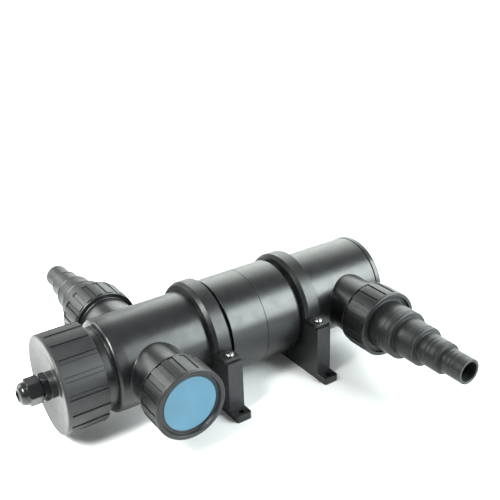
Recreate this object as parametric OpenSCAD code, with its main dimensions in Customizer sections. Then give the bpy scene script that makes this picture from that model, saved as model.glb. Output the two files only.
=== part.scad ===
// In-line ultraviolet clarifier for ponds and aquariums.
// Two tee housings meet at a centre seam and lie in two saddle brackets. A quartz sleeve runs
// down the middle and holds a twin-tube lamp, which draws out with the ribbed cap at the -X end.
// X runs along the housing, -Y is the front, Z is up. The origin is on the mounting surface,
// midway between the four foot holes. All sizes are in millimetres.

/* [Housing] */
// Height of the housing's axis above the mounting surface
axis_h = 46.2; // [46:0.1:60]
// Outside diameter of the two tee sections
tee_d = 75; // [75:0.5:77]
// Outside diameter of the wider centre section
centre_d = 81; // [81:0.5:82]
// Half the length of the wider centre section
centre_half = 32; // [30:0.5:34]
// Inside diameter of the water chamber
chamber_d = 69; // [66:0.5:70]
// Place of the seam between the two housings
seam_x = 1; // [-4:0.5:4]
// Place of the shoulder at the lamp end
shoulder_x = -128; // [-130:0.5:-126]
// Place of the joint between the housing and its end lid
lid_x = 119.4; // [118:0.2:122]
// Thickness of the end lid
lid_t = 5.6; // [5:0.1:8]

/* [Ports] */
// Place of the front window port and of the rear port opposite it
left_port_x = -96; // [-98:0.5:-94]
// Place of the front port at the lid end
right_port_x = 89.3; // [87:0.1:90]
// Outside diameter of a port's plain neck
port_d = 46.6; // [45:0.2:47]
// Outside diameter of a port's threaded end
port_thread_d = 48.8; // [48:0.2:49]
// Bore of a port
port_bore_d = 37; // [34:0.5:38]
// Distance from the housing's axis to a port's end face
port_face = 76; // [75:0.5:76]
// Diameter of the collar behind a union nut
collar_d = 54.4; // [52:0.2:55]

/* [Union nuts] */
// Outside diameter over the grip lands
nut_d = 55.6; // [55.4:0.1:57]
// Distance from the housing's axis to the nut's inner end
nut_back = 60; // [59:0.5:61]
// Distance from the housing's axis to the nut's outer end
nut_front = 84.7; // [84.5:0.1:86]
// Opening in the nuts that hold the hose tails
tail_nut_opening_d = 45.8; // [44:0.2:46]
// Opening in the nut that holds the window
window_nut_opening_d = 43; // [40:0.5:44]
// Pitch of the nuts' and the cap's threads
thread_pitch = 4; // [3:0.5:5]

/* [Hose tails] */
// Hose bores that the four steps take, largest first
hose_bores = [40, 32, 25, 20];
// How much each step is larger than its hose bore
hose_grip = 0.6; // [0.2:0.1:1]
// Length of one step
step_length = 21.3; // [20:0.1:24]
// Thickness of the tail's wall
tail_wall = 2.3; // [2:0.1:3]

/* [Lamp cap] */
// Outside diameter over the grip lands
cap_d = 77.6; // [77:0.2:80]
// Place of the cap's outer rim
cap_face_x = -169.5; // [-172:0.5:-169]
// Place of the cap's edge beside the housing
cap_back_x = -136.8; // [-138:0.2:-136]
// Depth of the dished end face
dish_depth = 5; // [3:0.5:5.5]

/* [Grips] */
// Number of grip grooves round the cap and round each nut
grip_count = 18; // [12:1:24]
// Depth of the grip grooves
groove_depth = 0.8; // [0.4:0.1:1]

/* [Mounting] */
// Distance of each bracket's centre from the middle
bracket_x = 43; // [42.8:0.1:44]
// Distance of each strap's centre from the middle
strap_x = 43.7; // [43:0.1:44.5]
// Width of a bracket along the housing
bracket_w = 13.2; // [12:0.2:14]
// Width of a strap along the housing
strap_w = 14.4; // [14:0.2:15]
// Outside diameter of a strap
strap_d = 88.4; // [88:0.2:90]
// Half the length of a bracket's foot
foot_reach = 69.4; // [69:0.2:72]
// Thickness of a foot
foot_t = 6; // [5:0.5:7]
// Distance from the middle to a foot's screw hole
foot_hole_y = 64.6; // [64:0.1:65]
// Diameter of a foot's screw hole
foot_hole_d = 4.4; // [4:0.1:5]
// Distance from the middle to a strap screw
strap_screw_y = 51; // [50.5:0.1:52]

/* [Lamp and sleeve] */
// Outside diameter of the quartz sleeve
sleeve_d = 44; // [43:0.5:44]
// Wall of the quartz sleeve
sleeve_wall = 1.5; // [1.2:0.1:1.6]
// Length of the lamp from its base face to its tip
lamp_length = 219; // [210:1:225]
// Diameter of each lamp tube
lamp_tube_d = 17; // [15:0.5:17]

/* [Hidden] */
$fn = 96;

black = [0.10, 0.10, 0.11];
rubber_black = [0.05, 0.05, 0.05];

tee_r = tee_d / 2;
centre_r = centre_d / 2;
chamber_r = chamber_d / 2;
body_end_x = lid_x + lid_t;
lid_r = tee_r + 0.3;

spigot_len = 10;
spigot_r = centre_r - 3;
edge = 2;

neck_r = 32.2;
neck_thread_r = 33.1;
neck_bore_r = 28;
neck_end_x = -156.6;
seal_seat_x = -144;

cap_r = cap_d / 2;
cap_bore_r = neck_thread_r + 0.5;
cap_inner_face_x = cap_face_x + dish_depth + 3.2;
cap_rim = 3;

port_r = port_d / 2;
port_bore_r = port_bore_d / 2;
collar_start = nut_back - 2.4;
collar_end = nut_back - 1;
seal_t = 2.5;
flange_t = 3;
flange_r = 24.2;
nut_bore_r = port_thread_d / 2 + 0.6;
nut_seat = port_face + seal_t + flange_t + 0.3;
nut_rim = 2.5;
lip_depth = 2.4;
tail_bevel_w = 1.8;
window_bevel_w = 2.8;

first_step_end = 106.7;
step_r = [for (bore = hose_bores) (bore + hose_grip) / 2];
step_end = [for (i = [0:3]) first_step_end + i * step_length];
tail_tip = step_end[3];
tail_groove_back = 3.4;
tail_groove_w = 1;
tail_groove_depth = 0.4;

sleeve_r = sleeve_d / 2;
sleeve_bore_r = sleeve_r - sleeve_wall;
sleeve_mouth_x = -150;
sleeve_end_x = 106;

base_face_x = -141;
lamp_tube_offset = 10;
lamp_tip_x = base_face_x + lamp_length;

boss_r = 10.2;
boss_end_x = -170;
gland_flange_end_x = -175;
gland_neck_end_x = -187;
gland_nut_start_x = -175.7;
gland_hex_end_x = -185.8;
gland_tip_x = -192.4;
gland_neck_r = 7;
bush_r = 5.5;
bush_seat_x = -177;
cord_bore_r = 3.3;

split_z = 1.2;
ear_t = 2.8;
ear_reach = 57;
column_reach = 58.7;
screw_r = 1.95;
screw_hole_r = 2.25;
pilot_r = 2;
head_r = 3.6;
head_h = 2.5;

// ---- placing helpers: each turns a shape drawn along Z onto the axis it belongs to

module along_x() {
    translate([0, 0, axis_h]) rotate([0, 90, 0]) children();
}

module front_port(x) {
    translate([x, 0, axis_h]) rotate([90, 0, 0]) children();
}

module rear_port(x) {
    translate([x, 0, axis_h]) rotate([-90, 0, 0]) children();
}

// a round rod between two stations along Z
module rod(from, to, r) {
    translate([0, 0, from]) cylinder(h = to - from, r = r);
}

// a tube between two stations along Z
module tube(from, to, r, bore_r) {
    difference() {
        rod(from, to, r);
        rod(from - 1, to + 1, bore_r);
    }
}

// a solid of revolution whose outline is a list of [radius, station] points
module turned(outline) {
    rotate_extrude() polygon(outline);
}

module oring(station, major_r, cord_r) {
    translate([0, 0, station]) rotate_extrude() translate([major_r, 0]) circle(r = cord_r, $fn = 32);
}

// grooves cut along Z into a grip of radius r
module grip_grooves(from, to, r, arc, phase) {
    for (i = [0:grip_count - 1])
        rotate([0, 0, phase + i * 360 / grip_count])
            translate([r - groove_depth, -r * sin(arc / 2), from])
                cube([groove_depth + 2, 2 * r * sin(arc / 2), to - from]);
}

// ---- housings

module port_stub() {
    rod(0, nut_back + 2, port_r);
    rod(collar_start, collar_end, collar_d / 2);
    rod(collar_end - 1, port_face, port_thread_d / 2);
}

module left_housing() {
    color(black) difference() {
        union() {
            along_x() turned([
                [0, neck_end_x], [neck_thread_r - 1, neck_end_x], [neck_thread_r, neck_end_x + 1],
                [neck_thread_r, cap_back_x - 2.4], [neck_r, cap_back_x - 1.4], [neck_r, shoulder_x],
                [tee_r - 2.8, shoulder_x + 0.3], [tee_r - 1.2, shoulder_x + 1.2],
                [tee_r - 0.3, shoulder_x + 3], [tee_r, shoulder_x + 9],
                [tee_r, -centre_half], [centre_r - 0.4, -centre_half], [centre_r, 0.4 - centre_half],
                [centre_r, seam_x], [0, seam_x]
            ]);
            front_port(left_port_x) port_stub();
            rear_port(left_port_x) port_stub();
        }
        along_x() rod(shoulder_x + 3, seam_x + 1, chamber_r);
        along_x() rod(neck_end_x - 1, seal_seat_x, neck_bore_r);
        along_x() rod(seal_seat_x - 1, shoulder_x + 4, sleeve_r + 0.6);
        along_x() rod(seal_seat_x + 4, shoulder_x + 4, neck_bore_r);
        along_x() rod(seam_x - spigot_len - 0.5, seam_x + 1, spigot_r + 0.1);
        front_port(left_port_x) rod(0, port_face + 1, port_bore_r);
        rear_port(left_port_x) rod(0, port_face + 1, port_bore_r);
    }
}

module right_housing() {
    color(black) difference() {
        union() {
            along_x() turned([
                [0, seam_x - spigot_len], [spigot_r - 0.6, seam_x - spigot_len],
                [spigot_r, seam_x - spigot_len + 0.6], [spigot_r, seam_x],
                [centre_r - 0.4, seam_x], [centre_r - 0.4, seam_x + 0.3], [centre_r, seam_x + 0.4],
                [centre_r, centre_half - 0.4], [centre_r - 0.4, centre_half], [tee_r, centre_half],
                [tee_r, lid_x - 0.5],
                [tee_r - 0.5, lid_x], [0, lid_x]
            ]);
            front_port(right_port_x) port_stub();
        }
        along_x() rod(seam_x - spigot_len - 1, lid_x + 1, chamber_r);
        along_x() tube(seam_x - 6.2, seam_x - 3.8, spigot_r + 1, spigot_r - 1.8);
        front_port(right_port_x) rod(0, port_face + 1, port_bore_r);
    }
}

module end_lid() {
    color(black) along_x() turned([
        [0, lid_x - 4], [chamber_r - 0.1, lid_x - 4], [chamber_r - 0.1, lid_x],
        [tee_r - 0.9, lid_x], [tee_r - 0.9, lid_x + 0.25], [lid_r - 0.6, lid_x + 0.25],
        [lid_r, lid_x + 0.8], [lid_r, body_end_x - edge], [lid_r - edge * 0.3, body_end_x - edge * 0.3],
        [lid_r - edge, body_end_x], [0, body_end_x]
    ]);
}

module seam_oring() {
    color(rubber_black) along_x() oring(seam_x - 5, spigot_r - 0.85, 0.93);
}

// ---- quartz sleeve and what seals and carries it

module quartz_sleeve() {
    color([0.8, 0.9, 0.95, 0.5]) along_x() difference() {
        union() {
            rod(sleeve_mouth_x, sleeve_end_x - 8, sleeve_r);
            turned([
                [0, sleeve_end_x - 9], [sleeve_r, sleeve_end_x - 9], [sleeve_r, sleeve_end_x - 8],
                [sleeve_r - 2, sleeve_end_x - 4], [sleeve_r - 8, sleeve_end_x - 1], [0, sleeve_end_x]
            ]);
        }
        rod(sleeve_mouth_x - 1, sleeve_end_x - 9, sleeve_bore_r);
    }
}

module sleeve_oring() {
    color(rubber_black) along_x()
        oring(-147, (sleeve_r + neck_bore_r) / 2, (neck_bore_r - sleeve_r) / 2 - 0.05);
}

module sleeve_clamp_ring() {
    color(black) along_x() {
        tube(neck_end_x - 2, neck_end_x, neck_thread_r - 1, sleeve_r + 0.2);
        tube(neck_end_x, sleeve_mouth_x - 0.1, neck_bore_r - 0.1, sleeve_r + 0.2);
    }
}

// a hub on the sleeve's closed end with four arms that reach the chamber wall
module sleeve_support() {
    color(rubber_black) along_x() difference() {
        union() {
            tube(92, 98, sleeve_r + 3, sleeve_r);
            for (a = [45:90:315])
                rotate([0, 0, a]) translate([sleeve_r + 1, -2.5, 92])
                    cube([chamber_r - sleeve_r - 1.5, 5, 6]);
        }
        rod(91, 99, sleeve_r);
    }
}

// ---- straps, brackets and their screws; side is -1 for the left one and 1 for the right

module strap(side) {
    color(black) difference() {
        union() {
            intersection() {
                translate([side * strap_x, 0, 0]) along_x() turned([
                    [tee_r - 2, -strap_w / 2], [strap_d / 2 - 1.9, -strap_w / 2],
                    [strap_d / 2, -strap_w / 2 + 3.3], [strap_d / 2, strap_w / 2 - 0.4],
                    [strap_d / 2 - 0.4, strap_w / 2], [tee_r - 2, strap_w / 2]
                ]);
                translate([-250, -60, axis_h + split_z]) cube([500, 120, 60]);
            }
            for (y = [-1, 1]) strap_ear(side, y);
        }
        along_x() rod(-150, 150, tee_r + 0.15);
        for (y = [-1, 1])
            translate([side * bracket_x, y * strap_screw_y, axis_h]) cylinder(h = 20, r = screw_hole_r);
    }
}

module strap_ear(side, y) {
    corner = 2;
    translate([side * strap_x - strap_w / 2, min(y * 38, y * (ear_reach - corner)), axis_h + split_z])
        cube([strap_w, ear_reach - corner - 38, ear_t]);
    translate([side * strap_x - strap_w / 2 + corner, min(y * 42, y * ear_reach), axis_h + split_z])
        cube([strap_w - 2 * corner, ear_reach - 42, ear_t]);
    for (x = [-1, 1])
        translate([side * strap_x + x * (strap_w / 2 - corner), y * (ear_reach - corner), axis_h + split_z])
            cylinder(h = ear_t, r = corner);
}

module left_strap() {
    strap(-1);
}

module right_strap() {
    strap(1);
}

module bracket(side) {
    corner = 2;
    color(black) difference() {
        translate([side * bracket_x - bracket_w / 2, 0, 0]) {
            translate([0, -column_reach, 0]) cube([bracket_w, 2 * column_reach, axis_h + split_z]);
            translate([0, corner - foot_reach, 0]) cube([bracket_w, 2 * (foot_reach - corner), foot_t]);
            translate([corner, -foot_reach, 0]) cube([bracket_w - 2 * corner, 2 * foot_reach, foot_t]);
            for (x = [corner, bracket_w - corner], y = [-1, 1])
                translate([x, y * (foot_reach - corner), 0]) cylinder(h = foot_t, r = corner);
        }
        along_x() rod(-150, 150, tee_r + 0.15);
        for (y = [-1, 1]) {
            translate([side * bracket_x, y * foot_hole_y, -1]) cylinder(h = foot_t + 2, r = foot_hole_d / 2);
            translate([side * bracket_x, y * strap_screw_y, axis_h - 14]) cylinder(h = 20, r = pilot_r);
        }
    }
}

module left_bracket() {
    bracket(-1);
}

module right_bracket() {
    bracket(1);
}

module strap_screws() {
    seat = axis_h + split_z + ear_t;
    color([0.75, 0.75, 0.72])
        for (x = [-1, 1], y = [-1, 1])
            translate([x * bracket_x, y * strap_screw_y, seat]) difference() {
                union() {
                    turned([[0, 0], [head_r, 0], [head_r, head_h * 0.4], [head_r * 0.7, head_h], [0, head_h]]);
                    rod(-16, 0, screw_r);
                }
                for (a = [0, 90])
                    rotate([0, 0, a + 30]) translate([-2, -0.4, head_h - 1.2]) cube([4, 0.8, 2]);
            }
}

// ---- lamp cap and cable gland

module lamp_cap() {
    color(black) along_x() difference() {
        union() {
            turned([
                [0, cap_face_x + dish_depth], [boss_r, cap_face_x + dish_depth],
                [cap_r - 16, cap_face_x + dish_depth * 0.6], [cap_r - 2.4, cap_face_x],
                [cap_r - 1.4, cap_face_x], [cap_r - 0.3, cap_face_x + 0.6],
                [cap_r, cap_face_x + 1.6], [cap_r, cap_back_x], [0, cap_back_x]
            ]);
            rod(boss_end_x, cap_face_x + dish_depth + 1, boss_r);
        }
        rod(cap_inner_face_x, cap_back_x + 1, cap_bore_r);
        rod(boss_end_x - 1, cap_inner_face_x + 1, gland_neck_r + 0.8);
        grip_grooves(cap_face_x + cap_rim, cap_back_x + 1, cap_r, 5, 18.5);
    }
}

module cap_oring() {
    color(rubber_black) along_x() oring((cap_inner_face_x + neck_end_x - 2) / 2, 29.5, 1.25);
}

module gland_body() {
    color(black) along_x() difference() {
        union() {
            rod(boss_end_x, cap_inner_face_x - 0.5, gland_neck_r + 0.75);
            rod(gland_neck_end_x, boss_end_x + 1, gland_neck_r);
            translate([0, 0, gland_flange_end_x])
                cylinder(h = boss_end_x - gland_flange_end_x, r = 10.9, $fn = 6);
        }
        rod(gland_neck_end_x - 1, bush_seat_x, bush_r + 0.05);
        rod(bush_seat_x - 1, cap_inner_face_x + 1, bush_r - 0.5);
    }
}

module gland_bush() {
    color(rubber_black) along_x() tube(gland_neck_end_x + 0.2, bush_seat_x - 0.1, bush_r, cord_bore_r);
}

module gland_nut() {
    color(black) along_x() difference() {
        union() {
            translate([0, 0, gland_hex_end_x]) rotate([0, 0, 15])
                cylinder(h = gland_nut_start_x - gland_hex_end_x, r = 10.9, $fn = 6);
            turned([
                [0, gland_tip_x], [4.6, gland_tip_x], [6.6, gland_tip_x + 0.8], [8.2, gland_tip_x + 2.6],
                [8.8, gland_tip_x + 4.8], [8.8, gland_hex_end_x + 1], [0, gland_hex_end_x + 1]
            ]);
        }
        rod(gland_neck_end_x - 0.5, gland_nut_start_x + 1, gland_neck_r + 0.3);
        rod(gland_tip_x - 1, gland_neck_end_x, cord_bore_r + 1);
    }
}

// ---- lamp and its holder

module lampholder() {
    color([0.85, 0.85, 0.82]) along_x() difference() {
        rod(cap_inner_face_x + 0.3, base_face_x - 0.1, 19.5);
        for (y = [-10.5, -3.5, 3.5, 10.5])
            translate([0, y, 0]) rod(base_face_x - 8, base_face_x + 1, 1.3);
    }
}

module lamp_base() {
    color([0.9, 0.9, 0.88]) translate([base_face_x, 0, axis_h]) intersection() {
        translate([0, -18.4, -9]) cube([22, 36.8, 18]);
        rotate([0, 90, 0]) cylinder(h = 22, r = 19.2);
    }
}

module lamp_tubes() {
    tube_r = lamp_tube_d / 2;
    color([0.93, 0.95, 0.97]) along_x() {
        for (y = [-1, 1]) translate([0, y * lamp_tube_offset, 0]) {
            rod(base_face_x + 22, lamp_tip_x - tube_r, tube_r);
            translate([0, 0, lamp_tip_x - tube_r]) sphere(r = tube_r);
        }
        translate([0, 0, lamp_tip_x - 14]) rotate([90, 0, 0])
            translate([0, 0, -lamp_tube_offset]) cylinder(h = 2 * lamp_tube_offset, r = 4);
    }
}

module lamp_pins() {
    color([0.8, 0.65, 0.35]) along_x()
        for (y = [-10.5, -3.5, 3.5, 10.5]) translate([0, y, 0]) rod(base_face_x - 6.5, base_face_x, 1.2);
}

// ---- union nuts, hose tails, window and their seals

module union_nut(opening_d, bevel_width, phase) {
    nut_r = nut_d / 2;
    opening_r = opening_d / 2;
    color(black) difference() {
        turned([
            [nut_bore_r, nut_back], [nut_r - 1, nut_back], [nut_r, nut_back + 1],
            [nut_r, nut_front - 2], [nut_r - 0.6, nut_front - 0.6], [nut_r - 2, nut_front],
            [opening_r + bevel_width, nut_front], [opening_r, nut_front - lip_depth], [opening_r, nut_seat],
            [nut_bore_r, nut_seat]
        ]);
        grip_grooves(nut_back - 1, nut_front - nut_rim, nut_r, 8, phase);
    }
}

module tail() {
    color(black) difference() {
        union() {
            rod(port_face + seal_t, port_face + seal_t + flange_t, flange_r);
            for (i = [0:3]) {
                start = i == 0 ? port_face + seal_t : step_end[i - 1];
                turned([
                    [0, start], [step_r[i], start], [step_r[i], step_end[i] - 1.2],
                    [step_r[i] - 1, step_end[i]], [0, step_end[i]]
                ]);
            }
        }
        for (i = [0:2])
            tube(step_end[i] - tail_groove_back, step_end[i] - tail_groove_back + tail_groove_w,
                step_r[i] + 1, step_r[i] - tail_groove_depth);
        rod(port_face, step_end[0] - 2, step_r[0] - tail_wall);
        for (i = [1:3])
            rod(step_end[i - 1] - 3, step_end[i] - (i == 3 ? -1 : 2), step_r[i] - tail_wall);
    }
}

module window_nut() {
    front_port(left_port_x) union_nut(window_nut_opening_d, window_bevel_w, 15);
}

module window_disc() {
    color([0.55, 0.74, 0.84, 0.9]) front_port(left_port_x) {
        rod(port_face + seal_t, port_face + seal_t + flange_t, flange_r);
        rod(port_face + seal_t, port_face + seal_t + flange_t + 1, window_nut_opening_d / 2 - 0.3);
    }
}

module window_gasket() {
    color(rubber_black) front_port(left_port_x)
        tube(port_face + 0.1, port_face + seal_t - 0.05, flange_r - 0.4, port_bore_r + 0.5);
}

module rear_nut() {
    rear_port(left_port_x) union_nut(tail_nut_opening_d, tail_bevel_w, 15);
}

module rear_tail() {
    rear_port(left_port_x) tail();
}

module rear_oring() {
    color(rubber_black) rear_port(left_port_x) oring(port_face + seal_t / 2, 21.3, seal_t / 2 - 0.05);
}

module right_nut() {
    front_port(right_port_x) union_nut(tail_nut_opening_d, tail_bevel_w, 17);
}

module right_tail() {
    front_port(right_port_x) tail();
}

module right_oring() {
    color(rubber_black) front_port(right_port_x) oring(port_face + seal_t / 2, 21.3, seal_t / 2 - 0.05);
}

left_housing();
right_housing();
end_lid();
seam_oring();
quartz_sleeve();
sleeve_oring();
sleeve_clamp_ring();
sleeve_support();
left_strap();
right_strap();
left_bracket();
right_bracket();
strap_screws();
lamp_cap();
cap_oring();
gland_body();
gland_bush();
gland_nut();
lampholder();
lamp_base();
lamp_tubes();
lamp_pins();
window_nut();
window_disc();
window_gasket();
rear_nut();
rear_tail();
rear_oring();
right_nut();
right_tail();
right_oring();
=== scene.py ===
import math

import bmesh
import bpy
from mathutils import Matrix, Vector


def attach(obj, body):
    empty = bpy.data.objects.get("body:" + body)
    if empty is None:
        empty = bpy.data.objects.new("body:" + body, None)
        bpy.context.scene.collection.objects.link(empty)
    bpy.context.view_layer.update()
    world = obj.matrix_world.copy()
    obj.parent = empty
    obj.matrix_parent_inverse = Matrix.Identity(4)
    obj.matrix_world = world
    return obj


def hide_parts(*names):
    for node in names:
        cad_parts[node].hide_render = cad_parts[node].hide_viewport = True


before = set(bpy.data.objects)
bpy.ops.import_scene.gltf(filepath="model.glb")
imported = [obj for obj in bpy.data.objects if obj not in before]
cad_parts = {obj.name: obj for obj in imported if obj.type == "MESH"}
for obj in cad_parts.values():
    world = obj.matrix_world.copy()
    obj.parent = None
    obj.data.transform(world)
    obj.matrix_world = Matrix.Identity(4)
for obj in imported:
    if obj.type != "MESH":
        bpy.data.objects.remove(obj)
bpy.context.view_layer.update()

MM = 0.001
COLUMNS = 192

# ---- the object's driving sizes, in millimetres

AXIS_H = 46.2
TEE_R, CENTRE_R, CHAMBER_R = 37.5, 40.5, 34.5
SEAM_X = 1.0
SHOULDER_X = -128.0
LID_X, BODY_END_X, LID_R = 119.4, 125.0, 37.8
CENTRE_HALF = 32.0
STRAP_X, STRAP_W, STRAP_R = 43.7, 14.4, 44.2
BRACKET_X, BRACKET_W = 43.0, 13.2
SADDLE_R = 37.65
LEFT_PORT_X, RIGHT_PORT_X = -96.0, 89.3
PORT_R, PORT_BORE_R, PORT_THREAD_R = 23.3, 18.5, 24.4
PORT_FACE = 76.0
COLLAR_R, COLLAR_START, COLLAR_END = 27.2, 57.6, 59.0
NECK_R, NECK_THREAD_R, NECK_BORE_R, NECK_END_X = 32.2, 33.1, 28.0, -156.6
SEAL_SEAT_X = -144.0
SLEEVE_R = 22.0
THREAD_PITCH = 4.0
NUT_R, NUT_BORE_R, LIP_DEPTH = 27.8, 25.0, 2.4
NUT_BACK, NUT_FRONT, NUT_SEAT = 60.0, 84.7, 81.8
CAP_R, CAP_BORE_R = 38.8, 33.6
CAP_FACE_X, CAP_BACK_X, CAP_INNER_X = -169.5, -136.8, -161.3
DISH_DEPTH, BOSS_R, BOSS_END_X = 5.0, 10.2, -170.0
GRIP_COUNT, GROOVE_DEPTH, SLIT_DEPTH = 18, 0.8, 1.5
STEP_R = [20.3, 16.3, 12.8, 10.3]
STEP_END = [106.7, 128.0, 149.3, 170.6]
TAIL_WALL = 2.3
SPLIT_Z = 1.2
EAR_T, EAR_REACH = 2.8, 57.0
COLUMN_REACH, FOOT_REACH, FOOT_T = 58.7, 69.4, 6.0
FOOT_HOLE_Y, STRAP_SCREW_Y = 64.6, 51.0

# ---- where a shape drawn along its own Z axis goes


def along_x():
    return Matrix.Translation((0, 0, AXIS_H * MM)) @ Matrix.Rotation(math.radians(90), 4, "Y")


def front_port(x):
    return Matrix.Translation((x * MM, 0, AXIS_H * MM)) @ Matrix.Rotation(math.radians(90), 4, "X")


def rear_port(x):
    return Matrix.Translation((x * MM, 0, AXIS_H * MM)) @ Matrix.Rotation(math.radians(-90), 4, "X")


# ---- outlines


def rounded(outline, steps=5):
    """Rounds the corners of an outline of (radius, station, fillet, kind) points."""
    out = []
    count = len(outline)
    for i, point in enumerate(outline):
        r, z, fillet = point[0], point[1], point[2] if len(point) > 2 else 0
        kind = point[3] if len(point) > 3 else None
        if not fillet:
            out.append((r, z, kind))
            continue
        here = Vector((r, z))
        before = Vector(outline[i - 1][:2]) - here
        after = Vector(outline[(i + 1) % count][:2]) - here
        turn = before.angle(after)
        reach = fillet / math.tan(turn / 2)
        reach = min(reach, before.length * 0.49, after.length * 0.49)
        radius = reach * math.tan(turn / 2)
        centre = here + (before.normalized() + after.normalized()).normalized() * (radius / math.sin(turn / 2))
        start = here + before.normalized() * reach - centre
        sweep = (here + after.normalized() * reach - centre).angle_signed(start)
        for k in range(steps + 1):
            p = centre + Matrix.Rotation(sweep * k / steps, 2) @ start
            out.append((p.x, p.y, kind))
    return out


def even_columns(count=COLUMNS):
    return [2 * math.pi * i / count for i in range(count)]


def grip_columns(arc, phase, edge=0.6):
    """Angles of the columns round a grip, and how deep each is cut: a groove with a finer slit along each side."""
    pitch = 360 / GRIP_COUNT
    half = arc / 2
    side = [(half - edge, 1), (half - edge * 0.7, SLIT_DEPTH), (half + edge * 0.5, SLIT_DEPTH),
            (half + edge * 0.8, 0.1), (half + edge, 0)]
    profile = [(-offset, depth) for offset, depth in reversed(side)] + [(0, 1)] + side
    columns = []
    for i in range(GRIP_COUNT):
        middle = phase + i * pitch
        for offset, depth in profile:
            columns.append((math.radians(middle + offset), depth))
        land = pitch - arc - 2 * edge
        for k in range(1, 6):
            columns.append((math.radians(middle + half + edge + land * k / 6), 0))
    return columns


def thread_drop(angle, station, depth=0.9):
    """How far below the crest a helical thread lies at this angle and station."""
    turn = (station / THREAD_PITCH - angle / (2 * math.pi)) % 1
    ramp = abs(turn - 0.5) * 2
    return depth * min(1, max(0, (ramp - 0.25) / 0.5))


def threaded(r, start, end, rows_per_turn=8):
    """Rows of a threaded stretch, for use inside an outline."""
    count = max(2, round(abs(end - start) / THREAD_PITCH * rows_per_turn))
    return [(r, start + (end - start) * i / count, 0, "thread") for i in range(count + 1)]


def stretch(r, start, end, gap=3.0):
    """Rows of a plain stretch, close enough together to be cut cleanly."""
    count = max(1, round(abs(end - start) / gap))
    return [(r, start + (end - start) * i / count, 0) for i in range(count + 1)]


# ---- meshes


def new_object(name, mesh_data, place=Matrix()):
    mesh = bpy.data.meshes.new(name)
    mesh_data.transform(Matrix.Scale(MM, 4))
    mesh_data.transform(place)
    bmesh.ops.recalc_face_normals(mesh_data, faces=mesh_data.faces)
    mesh_data.to_mesh(mesh)
    mesh_data.free()
    made = bpy.data.objects.new(name, mesh)
    bpy.context.scene.collection.objects.link(made)
    return made


def lathe(name, outline, place, columns=None, closed=True, hexagon=None):
    """Turns an outline round the local Z axis. Rows marked grip or thread are cut as they say."""
    columns = columns or [(a, 0) for a in even_columns()]
    bm = bmesh.new()
    rows = []
    for r, z, kind in outline:
        if r < 1e-6:
            rows.append([bm.verts.new((0, 0, z))])
            continue
        row = []
        for angle, depth in columns:
            here = r
            if kind == "grip":
                here -= GROOVE_DEPTH * depth
            elif kind == "thread":
                here -= thread_drop(angle, z)
            elif kind == "hex":
                lean = (angle + math.radians(30)) % math.radians(60) - math.radians(30)
                here = min(r, hexagon / math.cos(lean))
            row.append(bm.verts.new((here * math.cos(angle), here * math.sin(angle), z)))
        rows.append(row)
    pairs = list(zip(rows, rows[1:]))
    if closed:
        pairs.append((rows[-1], rows[0]))
    for lower, upper in pairs:
        count = max(len(lower), len(upper))
        if count == 1:
            continue
        for i in range(count):
            j = (i + 1) % count
            corners = []
            for row, index in ((lower, i), (lower, j), (upper, j), (upper, i)):
                vert = row[index % len(row)] if len(row) > 1 else row[0]
                if vert not in corners:
                    corners.append(vert)
            bm.faces.new(corners)
    return new_object(name, bm, place)


def box_object(name, low, high):
    bm = bmesh.new()
    bmesh.ops.create_cube(bm, size=1)
    for v in bm.verts:
        for axis in range(3):
            v.co[axis] = low[axis] if v.co[axis] < 0 else high[axis]
    return new_object(name, bm)


def extruded(name, outline, start, end, plane="yz"):
    """A flat outline pushed along the axis that it doesn't use."""
    bm = bmesh.new()
    if plane == "yz":
        low = [bm.verts.new((start, a, b)) for a, b in outline]
        high = [bm.verts.new((end, a, b)) for a, b in outline]
    else:
        low = [bm.verts.new((a, b, start)) for a, b in outline]
        high = [bm.verts.new((a, b, end)) for a, b in outline]
    bm.faces.new(low)
    bm.faces.new(high)
    count = len(outline)
    for i in range(count):
        j = (i + 1) % count
        bm.faces.new((low[i], low[j], high[j], high[i]))
    return new_object(name, bm)


def apply_modifiers(obj):
    graph = bpy.context.evaluated_depsgraph_get()
    mesh = bpy.data.meshes.new_from_object(obj.evaluated_get(graph))
    old = obj.data
    obj.modifiers.clear()
    obj.data = mesh
    mesh.name = old.name
    bpy.data.meshes.remove(old)


def combine(obj, others, operation):
    """Joins, cuts or keeps the overlap with each of the others, and removes them."""
    for other in others:
        modifier = obj.modifiers.new("combine", "BOOLEAN")
        modifier.operation = operation
        modifier.solver = "EXACT"
        modifier.object = other
        apply_modifiers(obj)
        bpy.data.objects.remove(other)
    return obj


def soften(obj, sharp_angle=38):
    """Smooth shading, with creases kept where faces meet sharply."""
    bm = bmesh.new()
    bm.from_mesh(obj.data)
    bmesh.ops.remove_doubles(bm, verts=bm.verts, dist=1e-7)
    bmesh.ops.dissolve_degenerate(bm, edges=bm.edges, dist=1e-7)
    for face in bm.faces:
        face.smooth = True
    for edge in bm.edges:
        edge.smooth = edge.calc_face_angle(0) < math.radians(sharp_angle)
    bm.to_mesh(obj.data)
    bm.free()
    modifier = obj.modifiers.new("weighted", "WEIGHTED_NORMAL")
    modifier.keep_sharp = True
    return obj


def bevelled(obj, width, segments=4, angle=38):
    modifier = obj.modifiers.new("bevel", "BEVEL")
    modifier.width = width * MM
    modifier.segments = segments
    modifier.limit_method = "ANGLE"
    modifier.angle_limit = math.radians(angle)
    modifier.use_clamp_overlap = True
    modifier.harden_normals = False
    apply_modifiers(obj)
    return soften(obj, 30)


# ---- materials


def nodes_of(material):
    material.use_nodes = True
    tree = material.node_tree
    return tree, tree.nodes, tree.links, tree.nodes["Principled BSDF"]


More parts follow.
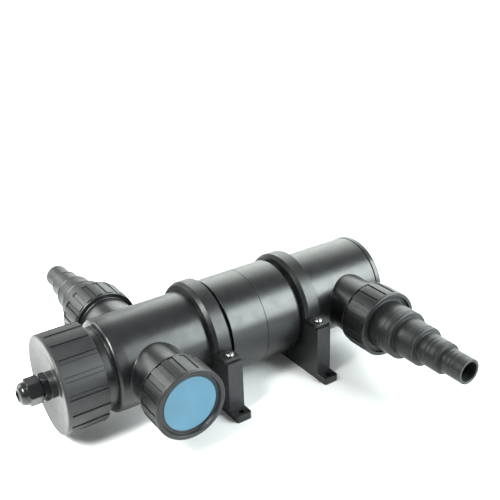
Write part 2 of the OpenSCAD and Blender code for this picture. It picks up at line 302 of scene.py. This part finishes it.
def noise_node(nodes, links, coords, scale, detail=3.0, rough=0.5):
    node = nodes.new("ShaderNodeTexNoise")
    node.inputs["Scale"].default_value = scale
    node.inputs["Detail"].default_value = detail
    node.inputs["Roughness"].default_value = rough
    links.new(coords, node.inputs["Vector"])
    return node.outputs["Fac"]


def ranged(nodes, links, value, low, high, to_low, to_high):
    node = nodes.new("ShaderNodeMapRange")
    node.inputs["From Min"].default_value = low
    node.inputs["From Max"].default_value = high
    node.inputs["To Min"].default_value = to_low
    node.inputs["To Max"].default_value = to_high
    links.new(value, node.inputs["Value"])
    return node.outputs["Result"]


def moulded(name, colour, rough_low, rough_high, grain=0.00002, grain_scale=2200, wear=0.3, specular=0.6, run=(1, 1, 1),
            mottle=0.18):
    """Moulded plastic: faint mottling, uneven gloss, fine grain and edges rubbed lighter."""
    material = bpy.data.materials.new(name)
    tree, nodes, links, shader = nodes_of(material)
    coords = nodes.new("ShaderNodeTexCoord").outputs["Object"]
    shader.inputs["Specular IOR Level"].default_value = specular

    patches = noise_node(nodes, links, coords, 45, 4)
    colours = nodes.new("ShaderNodeValToRGB")
    colours.color_ramp.elements[0].position = 0.3
    colours.color_ramp.elements[1].position = 0.7
    colours.color_ramp.elements[0].color = [c * (1 - mottle) for c in colour] + [1]
    colours.color_ramp.elements[1].color = [c * (1 + mottle) for c in colour] + [1]
    links.new(patches, colours.inputs["Fac"])

    edge = ranged(nodes, links, nodes.new("ShaderNodeNewGeometry").outputs["Pointiness"], 0.53, 0.62, 0, wear)
    scuffs = nodes.new("ShaderNodeMath")
    scuffs.operation = "MULTIPLY"
    links.new(edge, scuffs.inputs[0])
    links.new(noise_node(nodes, links, coords, 320, 5), scuffs.inputs[1])
    rub = nodes.new("ShaderNodeMix")
    rub.data_type = "RGBA"
    rub.inputs["B"].default_value = [min(1, c * 2.2 + 0.05) for c in colour] + [1]
    links.new(scuffs.outputs[0], rub.inputs["Factor"])
    links.new(colours.outputs["Color"], rub.inputs["A"])
    links.new(rub.outputs["Result"], shader.inputs["Base Color"])

    drawn = nodes.new("ShaderNodeMapping")
    drawn.inputs["Scale"].default_value = run
    links.new(coords, drawn.inputs["Vector"])
    gloss = noise_node(nodes, links, drawn.outputs["Vector"], 130, 6, 0.65)
    links.new(ranged(nodes, links, gloss, 0.3, 0.7, rough_low, rough_high), shader.inputs["Roughness"])

    bump = nodes.new("ShaderNodeBump")
    bump.inputs["Strength"].default_value = 0.35
    bump.inputs["Distance"].default_value = grain
    links.new(noise_node(nodes, links, drawn.outputs["Vector"], grain_scale, 2), bump.inputs["Height"])
    wave = nodes.new("ShaderNodeBump")
    wave.inputs["Strength"].default_value = 0.25
    wave.inputs["Distance"].default_value = 0.0001
    links.new(noise_node(nodes, links, coords, 60, 1), wave.inputs["Height"])
    links.new(bump.outputs["Normal"], wave.inputs["Normal"])
    links.new(wave.outputs["Normal"], shader.inputs["Normal"])
    return material


def window_plastic():
    material = moulded("window_plastic", (0.050, 0.158, 0.240), 0.36, 0.48, wear=0.1, grain=0.0002, grain_scale=1100, mottle=0.1)
    shader = material.node_tree.nodes["Principled BSDF"]
    shader.inputs["Coat Weight"].default_value = 0.3
    shader.inputs["Coat Roughness"].default_value = 0.15
    return material


def bright_steel():
    material = moulded("bright_steel", (0.34, 0.34, 0.32), 0.24, 0.40, grain=0.00001, wear=0.2)
    material.node_tree.nodes["Principled BSDF"].inputs["Metallic"].default_value = 1
    return material


def clear_glass(name, tint, rough_high):
    material = moulded(name, tint, 0.02, rough_high, grain=0.000002, wear=0)
    shader = material.node_tree.nodes["Principled BSDF"]
    shader.inputs["Transmission Weight"].default_value = 0.9
    shader.inputs["IOR"].default_value = 1.46
    return material


def brass():
    material = moulded("pin_brass", (0.72, 0.52, 0.22), 0.2, 0.35, wear=0.2)
    material.node_tree.nodes["Principled BSDF"].inputs["Metallic"].default_value = 1
    return material


BLACK = (0.0045, 0.0047, 0.0056)
CHARCOAL = (0.014, 0.0145, 0.0155)
HOUSING = moulded("housing_plastic", BLACK, 0.27, 0.38)
STRAP = moulded("strap_plastic", BLACK, 0.32, 0.44, specular=0.5)
MATT = moulded("nut_plastic", BLACK, 0.36, 0.46, grain=0.00003)
TAIL = moulded("tail_plastic", CHARCOAL, 0.36, 0.54, grain=0.0025, grain_scale=420, run=(0.02, 1, 0.02))
CAP = moulded("cap_plastic", BLACK, 0.38, 0.48, grain=0.00003)
GLAND = moulded("gland_plastic", BLACK, 0.16, 0.26)
RUBBER = moulded("seal_rubber", (0.015, 0.015, 0.015), 0.55, 0.75, grain=0.00004)
WHITE = moulded("lamp_white", (0.22, 0.22, 0.21), 0.3, 0.45)
WINDOW = window_plastic()
STEEL = bright_steel()
QUARTZ = clear_glass("quartz", (0.95, 0.98, 1.0), 0.05)
LAMP_GLASS = clear_glass("lamp_glass", (0.28, 0.37, 0.40), 0.12)
BRASS = brass()


def finish_piece(obj, body, material, slot, *nodes):
    obj.data.materials.clear()
    obj.data.materials.append(material)
    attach(obj, body)
    if nodes:
        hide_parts(*nodes)
    return obj


# ---- housings


def stub(name, place, bottom=26.0):
    """A port's neck with a flared foot that blends into the tee, and a threaded end."""
    flare = 0.5
    outer = PORT_R + flare
    bm = bmesh.new()
    rows = []
    angles = even_columns(144)

    def surface(r, angle):
        return math.sqrt(max(0.0, TEE_R ** 2 - (r * math.sin(angle)) ** 2))

    rows.append([bm.verts.new((outer * math.cos(a), outer * math.sin(a), bottom * 0.5)) for a in angles])
    rows.append([bm.verts.new((outer * math.cos(a), outer * math.sin(a), surface(outer, a) - 0.6)) for a in angles])
    for k in range(7):
        t = k / 6
        row = []
        for a in angles:
            ends = ((outer, surface(outer, a) - 0.02), (PORT_R, surface(PORT_R, a)), (PORT_R, surface(PORT_R, a) + flare))
            weights = ((1 - t) ** 2, 2 * t * (1 - t), t ** 2)
            r = sum(w * e[0] for w, e in zip(weights, ends))
            z = sum(w * e[1] for w, e in zip(weights, ends))
            row.append(bm.verts.new((r * math.cos(a), r * math.sin(a), z)))
        rows.append(row)
    top = rounded(
        [(PORT_R, 50, 0), (PORT_R, COLLAR_START, 0.8), (COLLAR_R, COLLAR_START, 0.5), (COLLAR_R, COLLAR_END, 0.4),
         (PORT_THREAD_R - 0.9, COLLAR_END, 0)]
        + threaded(PORT_THREAD_R, 60.5, 74.5)
        + [(PORT_THREAD_R - 0.9, 75.2, 0), (PORT_THREAD_R - 1.4, PORT_FACE, 0)]
    )
    for r, z, kind in top:
        row = []
        for a in angles:
            here = r - (thread_drop(a, z) if kind == "thread" else 0)
            row.append(bm.verts.new((here * math.cos(a), here * math.sin(a), z)))
        rows.append(row)
    for lower, upper in zip(rows, rows[1:]):
        for i in range(len(angles)):
            j = (i + 1) % len(angles)
            bm.faces.new((lower[i], lower[j], upper[j], upper[i]))
    bm.faces.new(rows[0])
    bm.faces.new(rows[-1])
    return new_object(name, bm, place)


def plug(name, r, start, end, place, count=144):
    return lathe(name, [(0, start, None), (r, start, None), (r, end, None), (0, end, None)], place,
                 [(a, 0) for a in even_columns(count)], closed=False)


def left_housing():
    body = lathe("left_housing", rounded(
        [(0, NECK_END_X + 0.0, 0), (NECK_THREAD_R - 1.6, NECK_END_X, 0.5), (NECK_THREAD_R - 0.9, NECK_END_X + 1.0, 0)]
        + threaded(NECK_THREAD_R, NECK_END_X + 1.6, CAP_BACK_X - 3.6)
        + [(NECK_R, CAP_BACK_X - 2.0, 0.4), (NECK_R, SHOULDER_X, 0.4),
           (TEE_R - 0.4, SHOULDER_X + 0.3, 2.6), (TEE_R, SHOULDER_X + 9, 0)]
        + stretch(TEE_R, SHOULDER_X + 11, -CENTRE_HALF - 3)
        + [(TEE_R, -CENTRE_HALF, 0), (CENTRE_R, -CENTRE_HALF, 0.5), (CENTRE_R, -CENTRE_HALF + 6, 0),
           (CENTRE_R, SEAM_X - 8, 0), (CENTRE_R, SEAM_X - 0.2, 0.1), (CENTRE_R - 3, SEAM_X - 0.2, 0),
           (0, SEAM_X - 0.2, 0)]
    ), along_x(), closed=False)
    combine(body, [stub("stub", front_port(LEFT_PORT_X)), stub("stub", rear_port(LEFT_PORT_X))], "UNION")
    combine(body, [
        plug("cut", CHAMBER_R, SHOULDER_X + 3, SEAM_X + 1, along_x()),
        plug("cut", NECK_BORE_R, NECK_END_X - 1, SEAL_SEAT_X, along_x()),
        plug("cut", SLEEVE_R + 0.6, SEAL_SEAT_X - 1, SHOULDER_X + 4, along_x()),
        plug("cut", NECK_BORE_R, SEAL_SEAT_X + 4, SHOULDER_X + 4, along_x()),
        plug("cut", 37.6, SEAM_X - 10.5, SEAM_X + 1, along_x()),
        plug("cut", PORT_BORE_R, 0, PORT_FACE + 1, front_port(LEFT_PORT_X)),
        plug("cut", PORT_BORE_R, 0, PORT_FACE + 1, rear_port(LEFT_PORT_X)),
    ], "DIFFERENCE")
    soften(body)
    finish_piece(body, "housing", HOUSING, "housing_plastic", "left_housing")


def right_housing():
    body = lathe("right_housing", rounded(
        [(0, SEAM_X - 10, 0), (37.5, SEAM_X - 10, 0.6), (37.5, SEAM_X - 0.1, 0), (CENTRE_R - 0.5, SEAM_X - 0.1, 0),
         (CENTRE_R - 0.5, SEAM_X + 0.15, 0), (CENTRE_R, SEAM_X + 0.15, 0.1), (CENTRE_R, SEAM_X + 8, 0),
         (CENTRE_R, CENTRE_HALF - 5, 0), (CENTRE_R, CENTRE_HALF, 0.5), (TEE_R, CENTRE_HALF, 0)]
        + stretch(TEE_R, CENTRE_HALF + 3, LID_X - 1.5)
        + [(TEE_R, LID_X - 0.3, 0.3), (TEE_R - 0.8, LID_X, 0), (0, LID_X, 0)]
    ), along_x(), closed=False)
    combine(body, [stub("stub", front_port(RIGHT_PORT_X))], "UNION")
    combine(body, [
        plug("cut", CHAMBER_R, SEAM_X - 11, LID_X + 1, along_x()),
        plug("cut", PORT_BORE_R, 0, PORT_FACE + 1, front_port(RIGHT_PORT_X)),
    ], "DIFFERENCE")
    soften(body)
    finish_piece(body, "housing", HOUSING, "housing_plastic", "right_housing")


def end_lid():
    lid = lathe("end_lid", rounded([
        (0, LID_X - 4, 0), (CHAMBER_R - 0.1, LID_X - 4, 0.4), (CHAMBER_R - 0.1, LID_X, 0),
        (TEE_R - 0.9, LID_X, 0), (TEE_R - 0.9, LID_X + 0.25, 0), (LID_R, LID_X + 0.25, 0.7),
        (LID_R, BODY_END_X, 1.8), (28, BODY_END_X, 0), (27.4, BODY_END_X - 0.5, 0), (0, BODY_END_X - 0.5, 0)]), along_x(), closed=False)
    soften(lid)
    finish_piece(lid, "housing", HOUSING, "housing_plastic", "end_lid")


# ---- straps, brackets, screws


def arc(r, start, end, count=72):
    return [(r * math.cos(math.radians(start + (end - start) * i / count)),
             AXIS_H + r * math.sin(math.radians(start + (end - start) * i / count))) for i in range(count + 1)]


def plan_outline(x, width, reach, corner):
    """A rounded rectangle seen from above, centred on x."""
    points = []
    for sx, sy, start in ((1, 1, 0), (-1, 1, 90), (-1, -1, 180), (1, -1, 270)):
        cx, cy = x + sx * (width / 2 - corner), sy * (reach - corner)
        for k in range(9):
            a = math.radians(start + 90 * k / 8)
            points.append((cx + corner * math.cos(a), cy + corner * math.sin(a)))
    return points


def upright(name, x, y, r, low, high, count=48):
    return lathe(name, [(0, low, None), (r, low, None), (r, high, None), (0, high, None)],
                 Matrix.Translation((x * MM, y * MM, 0)), [(a, 0) for a in even_columns(count)], closed=False)


def strap(name, side):
    """Half a ring with a chamfer on its -X side, and a screwed ear at each end."""
    x = side * STRAP_X
    low_x, high_x = x - STRAP_W / 2, x + STRAP_W / 2
    base = AXIS_H + SPLIT_Z
    piece = lathe(name, rounded([
        (TEE_R - 4, low_x, 0), (STRAP_R - 1.9, low_x, 0.4), (STRAP_R, low_x + 3.3, 1.2),
        (STRAP_R, x, 0), (STRAP_R, high_x, 0.35), (TEE_R - 4, high_x, 0)]), along_x())
    combine(piece, [box_object("keep", (low_x - 1, -60, base), (high_x + 1, 60, base + 60))], "INTERSECT")
    ears = []
    for y in (-1, 1):
        ear = extruded("ear", plan_outline(x, STRAP_W, EAR_REACH, 2), base, base + EAR_T, "xy")
        near, far = min(y * 36, y * 60), max(y * 36, y * 60)
        combine(ear, [box_object("keep", (low_x - 1, near, base - 1), (high_x + 1, far, base + 9))], "INTERSECT")
        ears.append(bevelled(ear, 0.45, 3))
    for ear in ears:
        ear.modifiers.clear()
    combine(piece, ears, "UNION")
    combine(piece, [plug("cut", SADDLE_R, low_x - 1, high_x + 1, along_x(), COLUMNS)]
            + [upright("cut", side * BRACKET_X, y * STRAP_SCREW_Y, 2.25, base - 2, base + 8) for y in (-1, 1)],
            "DIFFERENCE")
    soften(piece, 30)
    finish_piece(piece, "housing", STRAP, "strap_plastic", name)


def bracket(name, side):
    x = side * BRACKET_X
    top = AXIS_H + SPLIT_Z
    low = math.degrees(math.asin(SPLIT_Z / SADDLE_R))
    outline = ([(COLUMN_REACH, FOOT_T), (COLUMN_REACH, top)] + arc(SADDLE_R, low, -180 - low)
               + [(-COLUMN_REACH, top), (-COLUMN_REACH, FOOT_T), (-FOOT_REACH, FOOT_T), (-FOOT_REACH, 0),
                  (FOOT_REACH, 0), (FOOT_REACH, FOOT_T)])
    piece = extruded(name, outline, x - BRACKET_W / 2, x + BRACKET_W / 2)
    combine(piece, [extruded("keep", plan_outline(x, BRACKET_W, FOOT_REACH, 2), -1, top + 1, "xy")], "INTERSECT")
    combine(piece, [upright("cut", x, y * FOOT_HOLE_Y, 2.2, -1, FOOT_T + 1) for y in (-1, 1)]
            + [upright("cut", x, y * STRAP_SCREW_Y, 2.0, top - 15, top + 1) for y in (-1, 1)], "DIFFERENCE")
    bevelled(piece, 0.5, 3)
    finish_piece(piece, "housing", STRAP, "strap_plastic", name)


def strap_screws():
    seat = AXIS_H + SPLIT_Z + EAR_T
    for i, (x, y) in enumerate(((-1, -1), (1, -1), (-1, 1), (1, 1))):
        place = Matrix.Translation((x * BRACKET_X * MM, y * STRAP_SCREW_Y * MM, 0))
        screw = lathe(f"strap_screw_{i + 1}", rounded([
            (0, seat - 16, 0), (0.8, seat - 16, 0), (1.95, seat - 13.5, 0), (1.95, seat, 0), (3.6, seat, 0.2),
            (3.6, seat + 1.3, 0.5), (2.7, seat + 2.3, 1.2), (1.0, seat + 2.5, 0), (0, seat + 2.5, 0)]),
            place, [(a, 0) for a in even_columns(48)], closed=False)
        cuts = []
        for a in (0, 90):
            cut = box_object("cut", (-2.3, -0.6, seat + 0.7), (2.3, 0.6, seat + 4))
            cut.data.transform(place @ Matrix.Rotation(math.radians(25 + 37 * i + a), 4, "Z"))
            cuts.append(cut)
        combine(screw, cuts, "DIFFERENCE")
        soften(screw)
        finish_piece(screw, "housing", STEEL, "screw_steel", "strap_screws")


# ---- lamp cap and gland


def lamp_cap():
    rim = CAP_FACE_X
    cap = lathe("lamp_cap", rounded([
        (CAP_BORE_R, CAP_INNER_X, 0), (CAP_BORE_R, CAP_BACK_X, 0.4), (CAP_R, CAP_BACK_X, 0.5, "grip"),
        (CAP_R, CAP_BACK_X - 8, 0, "grip"), (CAP_R, rim + 12, 0, "grip"), (CAP_R, rim + 3.4, 0, "grip"),
        (CAP_R, rim + 3.0, 0), (CAP_R, rim, 1.5), (CAP_R - 2.2, rim, 0.5),
        (CAP_R - 16, rim + DISH_DEPTH * 0.6, 20), (BOSS_R, rim + DISH_DEPTH, 0.8),
        (BOSS_R, BOSS_END_X, 0.4), (7.8, BOSS_END_X, 0), (7.8, CAP_INNER_X, 0)]),
        along_x(), grip_columns(5, 18.5))
    soften(cap)
    finish_piece(cap, "cap_body", CAP, "cap_plastic", "lamp_cap")


def gland():
    columns = [(a, 0) for a in even_columns(120)]
    body = lathe("gland_body", rounded([
        (5.0, -161.8, 0), (7.75, -161.8, 0), (7.75, BOSS_END_X - 0.1, 0), (9.9, BOSS_END_X - 0.1, 0, "hex"),
        (10.8, BOSS_END_X - 0.7, 0, "hex"), (10.8, -174.4, 0, "hex"), (9.9, -175.0, 0, "hex"),
        (7.0, -175.0, 0), (7.0, -187, 0.5), (5.55, -187, 0), (5.55, -177, 0), (5.0, -177, 0)]),
        along_x(), columns, hexagon=9.5)
    soften(body)
    finish_piece(body, "cap_body", GLAND, "gland_plastic", "gland_body")
    nut = lathe("gland_nut", rounded([
        (7.3, -175.7, 0), (9.8, -175.7, 0, "hex"), (10.8, -176.3, 0, "hex"), (10.8, -185.0, 0, "hex"),
        (9.7, -185.8, 0.3, "hex"), (9.0, -186.0, 0.2), (8.9, -187.2, 2), (8.6, -189.2, 2),
        (7.2, -191.2, 1.8), (4.6, -192.4, 0.5), (4.3, -192.3, 0.2), (4.3, -187.0, 0), (7.3, -187.0, 0)]),
        along_x(), columns, hexagon=9.4)
    soften(nut)
    finish_piece(nut, "gland_nut_body", GLAND, "gland_plastic", "gland_nut")


# ---- nuts, tails, window


def union_nut(name, place, opening, slope, phase, body):
    nut = lathe(name, rounded([
        (NUT_BORE_R, NUT_BACK, 0.3), (NUT_R - 0.2, NUT_BACK, 0.5, "grip"), (NUT_R, NUT_BACK + 4, 0, "grip"),
        (NUT_R, NUT_FRONT - 6, 0, "grip"), (NUT_R, NUT_FRONT - 2.6, 0, "grip"), (NUT_R, NUT_FRONT - 2.3, 0),
        (NUT_R, NUT_FRONT, 1.5), (opening + slope, NUT_FRONT, 0.5),
        (opening + slope - 0.7, NUT_FRONT - LIP_DEPTH, 0.3), (opening, NUT_FRONT - LIP_DEPTH, 0.2),
        (opening, NUT_SEAT, 0), (NUT_BORE_R, NUT_SEAT, 0)]), place, grip_columns(8, phase, 0.8))
    soften(nut)
    finish_piece(nut, body, MATT, "nut_plastic", name)


def hose_tail(name, place, body):
    outline = [(18.0, 78.5, 0), (24.2, 78.5, 0.3), (24.2, 81.5, 0.3), (STEP_R[0], 81.5, 0.5)]
    for i, (r, end) in enumerate(zip(STEP_R, STEP_END)):
        if i == 3:
            outline.append((r, end, 0.4))
            continue
        groove = end - 3.4
        outline += [(r, groove - 0.5, 0.3), (r - 0.45, groove, 0.2), (r - 0.45, groove + 0.7, 0.2),
                    (r, groove + 1.2, 0.4), (r, end, 0.9), (STEP_R[i + 1], end, 0.5)]
    bore = [r - TAIL_WALL for r in STEP_R]
    outline += [(bore[3], STEP_END[3], 0.6), (bore[3], STEP_END[2] - 2, 0), (bore[2], STEP_END[2] - 4, 0),
                (bore[2], STEP_END[1] - 2, 0), (bore[1], STEP_END[1] - 4, 0), (bore[1], STEP_END[0] - 2, 0),
                (bore[0], STEP_END[0] - 4, 0)]
    tail = lathe(name, rounded(outline, 4), place, [(a, 0) for a in even_columns(144)])
    soften(tail)
    finish_piece(tail, body, TAIL, "tail_plastic", name)


def window_disc():
    disc = lathe("window_disc", rounded([
        (0, 78.5, 0), (24.2, 78.5, 0.3), (24.2, 81.5, 0.4), (21.2, 81.5, 0.2), (21.2, 82.5, 0.4),
        (12, 82.5, 0), (0, 82.5, 0)]), front_port(LEFT_PORT_X), closed=False)
    soften(disc)
    finish_piece(disc, "window_disc_body", WINDOW, "window_plastic", "window_disc")


left_housing()
right_housing()
end_lid()
strap("left_strap", -1)
strap("right_strap", 1)
bracket("left_bracket", -1)
bracket("right_bracket", 1)
strap_screws()
lamp_cap()
gland()
union_nut("window_nut", front_port(LEFT_PORT_X), 21.5, 2.8, 15, "window_nut_body")
union_nut("rear_nut", rear_port(LEFT_PORT_X), 22.9, 1.8, 15, "rear_nut_body")
union_nut("right_nut", front_port(RIGHT_PORT_X), 22.9, 1.8, 17, "right_nut_body")
hose_tail("rear_tail", rear_port(LEFT_PORT_X), "rear_tail_body")
hose_tail("right_tail", front_port(RIGHT_PORT_X), "right_tail_body")
window_disc()

CARRIED = {
    "seam_oring": RUBBER, "sleeve_oring": RUBBER, "sleeve_support": RUBBER, "cap_oring": RUBBER,
    "gland_bush": RUBBER, "window_gasket": RUBBER, "rear_oring": RUBBER, "right_oring": RUBBER,
    "sleeve_clamp_ring": CAP, "quartz_sleeve": QUARTZ, "lampholder": WHITE, "lamp_base": WHITE,
    "lamp_tubes": LAMP_GLASS, "lamp_pins": BRASS,
}
for node, material in CARRIED.items():
    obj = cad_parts[node]
    obj.data.materials.clear()
    obj.data.materials.append(material)

# ---- stage, lights and camera


def stage():
    bm = bmesh.new()
    profile = [(-1.6, 0), (0.9, 0)]
    for k in range(1, 13):
        a = math.radians(90 * k / 12)
        profile.append((0.9 + 0.6 * math.sin(a), 0.6 - 0.6 * math.cos(a)))
    profile.append((1.5, 2.6))
    ahead = Vector((math.sin(math.radians(33)), math.cos(math.radians(33))))
    across = Vector((ahead.y, -ahead.x))
    rows = []
    for reach, z in profile:
        row = []
        for side in (-2.6, 2.6):
            p = ahead * reach + across * side
            row.append(bm.verts.new((p.x / MM, p.y / MM, z / MM - 0.02)))
        rows.append(row)
    for a, b in zip(rows, rows[1:]):
        bm.faces.new((a[0], a[1], b[1], b[0])).smooth = True
    floor = new_object("studio_floor", bm)
    material = bpy.data.materials.new("studio_paper")
    tree, nodes, links, shader = nodes_of(material)
    shader.inputs["Roughness"].default_value = 0.9
    coords = nodes.new("ShaderNodeTexCoord").outputs["Object"]
    colours = nodes.new("ShaderNodeValToRGB")
    colours.color_ramp.elements[0].color = (0.83, 0.83, 0.83, 1)
    colours.color_ramp.elements[1].color = (0.87, 0.87, 0.87, 1)
    links.new(noise_node(nodes, links, coords, 3), colours.inputs["Fac"])
    links.new(colours.outputs["Color"], shader.inputs["Base Color"])
    floor.data.materials.append(material)


def softbox(name, place, target, width, height, power, colour, spread=180):
    data = bpy.data.lights.new(name, "AREA")
    data.spread = math.radians(spread)
    data.color = colour
    data.shape = "RECTANGLE"
    data.size = width
    data.size_y = height
    data.energy = power
    light = bpy.data.objects.new(name, data)
    light.location = place
    light.rotation_mode = "QUATERNION"
    light.rotation_quaternion = (Vector(target) - Vector(place)).to_track_quat("-Z", "Y")
    bpy.context.scene.collection.objects.link(light)
    return light


def camera():
    data = bpy.data.cameras.new("camera")
    data.lens = 56.55
    data.sensor_width = 36
    cam = bpy.data.objects.new("camera", data)
    right = Vector((0.82931, -0.55788, -0.03144))
    up = Vector((0.25744, 0.33156, 0.90763))
    back = right.cross(up)
    cam.matrix_world = Matrix((
        (right.x, up.x, back.x, -0.30704),
        (right.y, up.y, back.y, -0.48965),
        (right.z, up.z, back.z, 0.37396),
        (0, 0, 0, 1)))
    bpy.context.scene.collection.objects.link(cam)
    bpy.context.scene.camera = cam


stage()
softbox("key", (0.80, -0.80, 0.56), (0.80, 0.03, 0.01), 1.0, 0.85, 38, (0.90, 1.0, 0.99))
softbox("back", (0.82, 0.70, 0.60), (0.0, 0.0, 0.06), 1.5, 0.9, 13.5, (0.93, 1.0, 0.94))
softbox("back_left", (-0.50, 0.62, 0.45), (-0.25, 0.12, 0.03), 0.5, 0.5, 4.5, (0.97, 1.0, 0.97))
softbox("floor_left", (-0.55, -0.05, 0.55), (-0.28, 0.13, 0), 0.4, 0.3, 2.4, (0.97, 1.0, 0.97), 50)
world = bpy.data.worlds.new("studio")
world.use_nodes = True
world.node_tree.nodes["Background"].inputs["Color"].default_value = (1, 1, 1, 1)
world.node_tree.nodes["Background"].inputs["Strength"].default_value = 0.35
bpy.context.scene.world = world
bpy.context.scene.view_settings.view_transform = "Standard"
camera()
